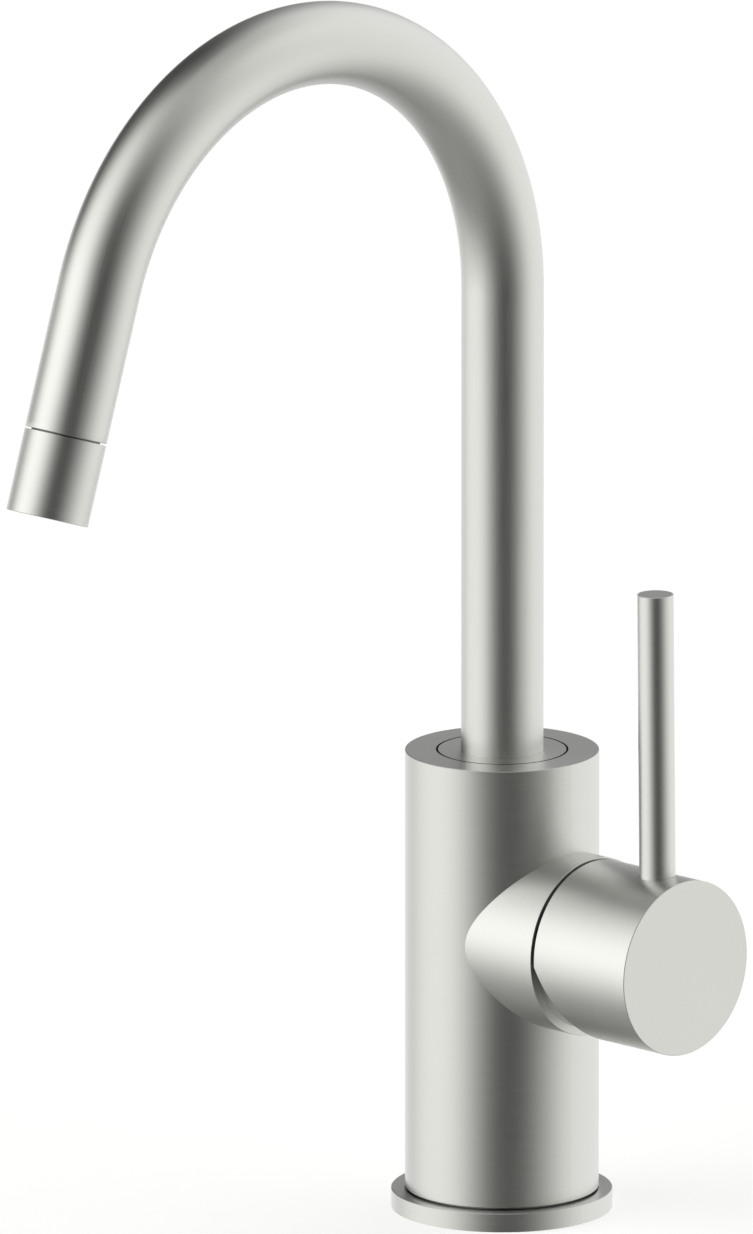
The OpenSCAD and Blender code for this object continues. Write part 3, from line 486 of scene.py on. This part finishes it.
placed = add(grub_rule, "GeometryNodeTransform", {},
             {"Geometry": screw, "Translation": given["Place"], "Rotation": given["Turn"]})
whole = add(grub_rule, "GeometryNodeRealizeInstances", {}, {"Geometry": placed})
finished = add(grub_rule, "GeometryNodeSetMaterial", {}, {"Geometry": whole, "Material": given["Finish"]})
add(grub_rule, "NodeGroupOutput", {}, {"Geometry": finished})


def grow(name, rule, values):
    """Runs a node rule with its sizes on an empty mesh, and returns the plain mesh that it makes."""
    holder = bpy.data.objects.new(name, bpy.data.meshes.new(name))
    bpy.context.scene.collection.objects.link(holder)
    modifier = holder.modifiers.new(name, "NODES")
    modifier.node_group = rule
    for item in rule.interface.items_tree:
        if item.in_out == "INPUT" and item.name in values:
            modifier[item.identifier] = values[item.name]
    mesh = bpy.data.meshes.new_from_object(holder.evaluated_get(bpy.context.evaluated_depsgraph_get()))
    bpy.data.objects.remove(holder)
    mesh.name = name
    # A shape that had no finish before the rule's last step leaves an empty slot behind
    for place in reversed(range(len(mesh.materials))):
        if mesh.materials[place] is None:
            mesh.materials.pop(index=place)
    return mesh


def finish_mesh(mesh, wall=0.0, round_over=0.0, sharp=35):
    """Gives a skin its wall, rounds its sharp edges, and shades it smooth between them."""
    holder = bpy.data.objects.new("on_the_bench", mesh)
    bpy.context.scene.collection.objects.link(holder)
    if wall:
        solid = holder.modifiers.new("wall", "SOLIDIFY")
        solid.thickness, solid.offset, solid.use_even_offset = wall, -1.0, True
    if round_over:
        edge = holder.modifiers.new("edge", "BEVEL")
        edge.width, edge.segments, edge.limit_method = round_over, 3, "ANGLE"
        edge.angle_limit = math.radians(sharp)
    done = bpy.data.meshes.new_from_object(holder.evaluated_get(bpy.context.evaluated_depsgraph_get()))
    bpy.data.objects.remove(holder)
    done.shade_smooth()
    done.set_sharp_from_angle(angle=math.radians(sharp))
    return done


def add_piece(name, mesh, body, node):
    """Puts a finished mesh in the scene, riding on a body and standing for its CAD node."""
    piece = bpy.data.objects.new(name, mesh)
    bpy.context.scene.collection.objects.link(piece)
    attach(piece, body)
    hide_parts(node)


# M5 x 0.8, with its socket downwards under the handle and its tip on the flat of the spindle
spindle_flat_height = 0.063
grub_steel = turned_metal("plain_stainless_grub_screw", along_lever, "#96989A", "#AEB0B2", 0.3)
grub_screw = grow("grub_screw_m5", grub_rule,
                  {"Radius": 0.0025, "Pitch": 0.0008, "Length": 0.01, "Tip Radius": 0.0018,
                   "Tip Length": 0.0005, "Socket Radius": 0.00145, "Socket Depth": 0.0026,
                   "Place": (lever_x, 0.0, spindle_flat_height), "Turn": (math.pi, 0.0, 0.0),
                   "Finish": grub_steel})
add_piece("grub_screw_m5", finish_mesh(grub_screw), "handle", "handle_grub_screw")


# Spout foot
# A turned disc and journal, level with the column's top. It turns on an acetal slip ring, and a
# grub screw through the column's back reaches into a groove in its journal and keeps it in.
foot_finish, tree = new_material("satin_stainless_spout_foot")
# The seam round the disc is painted darker, as painted shade
satin_finish(tree, rings(tree, upright, brush_pitch, brush_streak), painted_shade=painted_seam_shade(tree, **disc_seam))
dress("spout_foot", foot_finish)
dress("spout_slip_ring", white_acetal)
dress("spout_o_rings", seal_rubber)
# M4 x 0.7, with its plain tip in the journal's groove and its socket at the back of the column
keeper_height, groove_floor_y = 0.0993, 0.0103
along_keeper = Matrix.Rotation(math.radians(90), 4, "X") @ Matrix.Translation((0, 0, -keeper_height))
keeper_steel = turned_metal("plain_stainless_keeper_screw", along_keeper, "#96989A", "#AEB0B2", 0.3)
keeper_screw = grow("keeper_screw_m4", grub_rule,
                    {"Radius": 0.002, "Pitch": 0.0007, "Length": 0.009, "Tip Radius": 0.0014,
                     "Tip Length": 0.00206, "Socket Radius": 0.00116, "Socket Depth": 0.0022,
                     "Place": (0.0, groove_floor_y, keeper_height), "Turn": (math.radians(-90), 0.0, 0.0),
                     "Finish": keeper_steel})
add_piece("keeper_screw_m4", finish_mesh(keeper_screw), "body", "spout_keeper_screw")


# Spout tube
# Drawn stainless tube, bent in one arc on a mandrel and brushed along its length. The nodes lay the
# path from its own sizes, and sweep the tube's circle along it.
spout_radius, spout_wall, end_rounding = 0.00955, 0.0012, 0.00015
spout_foot_height, riser_top = 0.1025, 0.2188
bend_radius, bend_sweep, leg_length = 0.0678, math.radians(161.6), 0.0342

# The lines run along the tube, each about 12 mm long, from the attributes that the sweep stores
streak_length = 0.012
steel_along_spout, tree = new_material("satin_stainless_brushed_along_the_spout")
section = add(tree, "ShaderNodeAttribute", {"attribute_name": "section"})
along = add(tree, "ShaderNodeAttribute", {"attribute_name": "along"})
across = add(tree, "ShaderNodeVectorMath", {"operation": "SCALE"},
             {0: section.outputs["Vector"], "Scale": 1 / brush_pitch})
forward = add(tree, "ShaderNodeMath", {"operation": "DIVIDE"}, {0: along.outputs["Fac"], 1: streak_length})
lifted = add(tree, "ShaderNodeCombineXYZ", {}, {"Z": forward})
line = add(tree, "ShaderNodeVectorMath", {"operation": "ADD"}, {0: across, 1: lifted})
lines = add(tree, "ShaderNodeTexNoise", {}, {"Vector": line, "Scale": 1.0, "Detail": 2.0, "Roughness": 0.55})
satin_finish(tree, lines.outputs["Fac"])

spout_rule = bpy.data.node_groups.new("spout_swept_along_its_path", "GeometryNodeTree")
spout_sizes = {
    "Foot Height": spout_foot_height, "Riser Top": riser_top, "Bend Radius": bend_radius,
    "Bend Sweep": bend_sweep, "Leg Length": leg_length, "Tube Radius": spout_radius,
}
for name in spout_sizes:
    spout_rule.interface.new_socket(name, in_out="INPUT", socket_type="NodeSocketFloat")
for name in ("Rings", "Sides"):
    spout_rule.interface.new_socket(name, in_out="INPUT", socket_type="NodeSocketInt")
spout_rule.interface.new_socket("Finish", in_out="INPUT", socket_type="NodeSocketMaterial")
spout_rule.interface.new_socket("Geometry", in_out="OUTPUT", socket_type="NodeSocketGeometry")
given = add(spout_rule, "NodeGroupInput").outputs
unit_line = add(spout_rule, "GeometryNodeCurvePrimitiveLine", {}, {"End": (0, 0, 1)})
points = add(spout_rule, "GeometryNodeResampleCurve", {}, {"Curve": unit_line, "Count": given["Rings"]})
# Each point is carried its share of the way up the riser, round the bend and down the leg
known = {socket.name: socket for socket in given}
known["Share"] = add(spout_rule, "GeometryNodeSplineParameter").outputs["Factor"]
for result, operation, first, second in (
    ("Riser", "SUBTRACT", "Riser Top", "Foot Height"),
    ("Arc", "MULTIPLY", "Bend Radius", "Bend Sweep"),
    ("Straight", "ADD", "Riser", "Leg Length"),
    ("Whole", "ADD", "Straight", "Arc"),
    ("Travelled", "MULTIPLY", "Share", "Whole"),
    ("Up Riser", "MINIMUM", "Travelled", "Riser"),
    ("Beyond", "SUBTRACT", "Travelled", "Riser"),
    ("Past Riser", "MAXIMUM", "Beyond", 0.0),
    ("Free Turn", "DIVIDE", "Past Riser", "Bend Radius"),
    ("Turn", "MINIMUM", "Free Turn", "Bend Sweep"),
    ("Left Over", "SUBTRACT", "Past Riser", "Arc"),
    ("Down Leg", "MAXIMUM", "Left Over", 0.0),
    ("Sine", "SINE", "Turn", 0.0),
    ("Cosine", "COSINE", "Turn", 0.0),
    ("Rise", "MULTIPLY", "Bend Radius", "Sine"),
    ("Leg Rise", "MULTIPLY", "Down Leg", "Cosine"),
    ("Near Side", "MULTIPLY", "Bend Radius", "Cosine"),
    ("Reach", "SUBTRACT", "Bend Radius", "Near Side"),
    ("Leg Reach", "MULTIPLY", "Down Leg", "Sine"),
    ("Outward", "ADD", "Reach", "Leg Reach"),
    ("Y", "MULTIPLY", "Outward", -1.0),
    ("Base", "ADD", "Foot Height", "Up Riser"),
    ("Bent Height", "ADD", "Rise", "Leg Rise"),
    ("Z", "ADD", "Base", "Bent Height"),
):
    known[result] = add(spout_rule, "ShaderNodeMath", {"operation": operation},
                        {0: known.get(first, first), 1: known.get(second, second)})
place = add(spout_rule, "ShaderNodeCombineXYZ", {}, {"Y": known["Y"], "Z": known["Z"]})
path = add(spout_rule, "GeometryNodeSetPosition", {}, {"Geometry": points, "Position": place})
path = add(spout_rule, "GeometryNodeStoreNamedAttribute", {"data_type": "FLOAT", "domain": "POINT"},
           {"Geometry": path, "Name": "along", "Value": known["Travelled"]})
circle = add(spout_rule, "GeometryNodeCurvePrimitiveCircle", {},
             {"Resolution": given["Sides"], "Radius": given["Tube Radius"]})
corner = add(spout_rule, "GeometryNodeInputPosition")
circle = add(spout_rule, "GeometryNodeStoreNamedAttribute", {"data_type": "FLOAT_VECTOR", "domain": "POINT"},
             {"Geometry": circle, "Name": "section", "Value": corner})
skin = add(spout_rule, "GeometryNodeCurveToMesh", {}, {"Curve": path, "Profile Curve": circle})
smooth = add(spout_rule, "GeometryNodeSetShadeSmooth", {}, {"Geometry": skin})
whole = add(spout_rule, "GeometryNodeRealizeInstances", {}, {"Geometry": smooth})
finished = add(spout_rule, "GeometryNodeSetMaterial", {}, {"Geometry": whole, "Material": given["Finish"]})
add(spout_rule, "NodeGroupOutput", {}, {"Geometry": finished})

tube = grow("spout_tube_bent", spout_rule,
            {**spout_sizes, "Rings": 240, "Sides": 96, "Finish": steel_along_spout})
tube = finish_mesh(tube, wall=spout_wall, round_over=end_rounding)
add_piece("spout_tube_bent", tube, "spout", "spout_tube")


# Outlet
# The shell is turned to the tube's own diameter and screwed on a brazed nipple, which shows as the
# dark floor of the seam. Inside are the aerator's cup, its screen and the flow regulator.
outlet_y = -bend_radius * (1 - math.cos(bend_sweep)) - leg_length * math.sin(bend_sweep)
outlet_z = riser_top + bend_radius * math.sin(bend_sweep) + leg_length * math.cos(bend_sweep)
at_outlet = Matrix.Translation((0, outlet_y, outlet_z)) @ Matrix.Rotation(bend_sweep, 4, "X")
along_outlet = at_outlet.inverted()
steel_round_outlet = satin_steel("satin_stainless_brushed_round_the_outlet", along_outlet)
dress("outlet_shell", steel_round_outlet)
# The nipple is left as cut, and its thread holds a dark film of sealant
threaded_steel = turned_metal("stainless_nipple_as_cut", along_outlet, "#77777A", "#8C8C8E", 0.4)
dress("outlet_nipple", threaded_steel)
dress("outlet_washer", seal_rubber)
dress("aerator_insert", grey_plastic)
# Etched sheet steel is an even mid grey with hardly any shine
etched_steel = turned_metal("etched_steel_screen", along_outlet, "#96989A", "#AEB0B2", 0.35)
dress("aerator_screen", etched_steel)
dress("flow_regulator", white_acetal)
